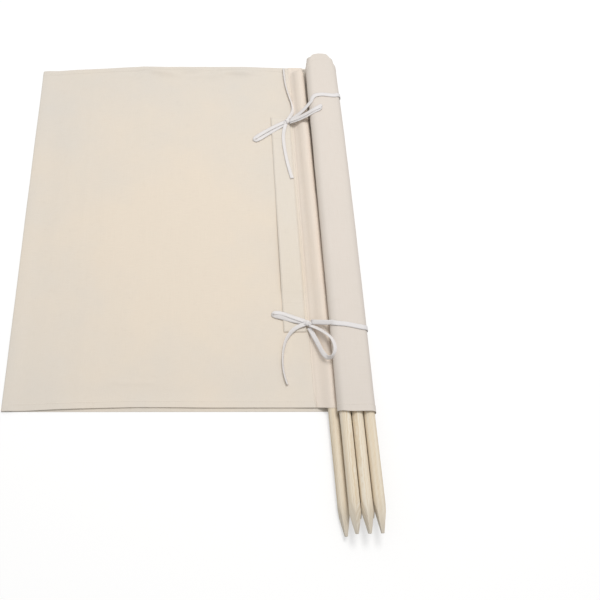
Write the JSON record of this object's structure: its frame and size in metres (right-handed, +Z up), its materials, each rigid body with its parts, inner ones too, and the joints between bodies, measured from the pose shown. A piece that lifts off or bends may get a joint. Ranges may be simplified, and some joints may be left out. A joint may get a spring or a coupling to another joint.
{
  "type": "beach windbreak, cotton canvas on six wooden poles, half unrolled",
  "caption": "Cotton canvas beach windbreak with pointed wooden poles in sewn sleeves, outer bay folded flat, the rest rolled, with carry strap and tape ties.",
  "frame": {"origin": "centre of the footprint of the windbreak as it lies, on the floor, measured without the free tape tails", "axes": "+Z up, +Y along the poles towards the closed ends of the sleeves, -Y towards the pole points, +X from the folded bay towards the roll"},
  "size_m": [0.7712, 1.234, 0.0575],
  "materials": {
    "canvas": "undyed cotton canvas, plain weave, matte",
    "webbing": "undyed cotton webbing, matte",
    "tape": "white cotton twill tape, matte",
    "pole_wood": "sanded bare softwood"
  },
  "bodies": {
    "root": {"bay_cloth": "canvas", "bay_hem_low": "canvas", "bay_hem_top": "canvas", "carry_strap": "webbing", "pole_1": "pole_wood", "pole_2": "pole_wood", "pole_3": "pole_wood", "pole_4": "pole_wood", "pole_5": "pole_wood", "pole_6": "pole_wood", "roll_core_top": "canvas", "roll_hem_low": "canvas", "roll_hem_top": "canvas", "roll_turn_1": "canvas", "roll_turn_2": "canvas", "roll_turn_3": "canvas", "sleeve_1": "canvas", "sleeve_1_closed_end": "canvas", "sleeve_2": "canvas", "sleeve_3": "canvas", "sleeve_4": "canvas", "sleeve_5": "canvas", "sleeve_6": "canvas", "strap_end_low": "webbing", "strap_end_top": "webbing", "tie_low_band": "tape", "tie_low_knot": "tape", "tie_low_loop_left": "tape", "tie_low_loop_right": "tape", "tie_low_tail": "tape", "tie_top_band": "tape", "tie_top_knot": "tape", "tie_top_loop_left": "tape", "tie_top_loop_right": "tape", "tie_top_tail_down": "tape", "tie_top_tail_up": "tape"}
  },
  "joints": []
}
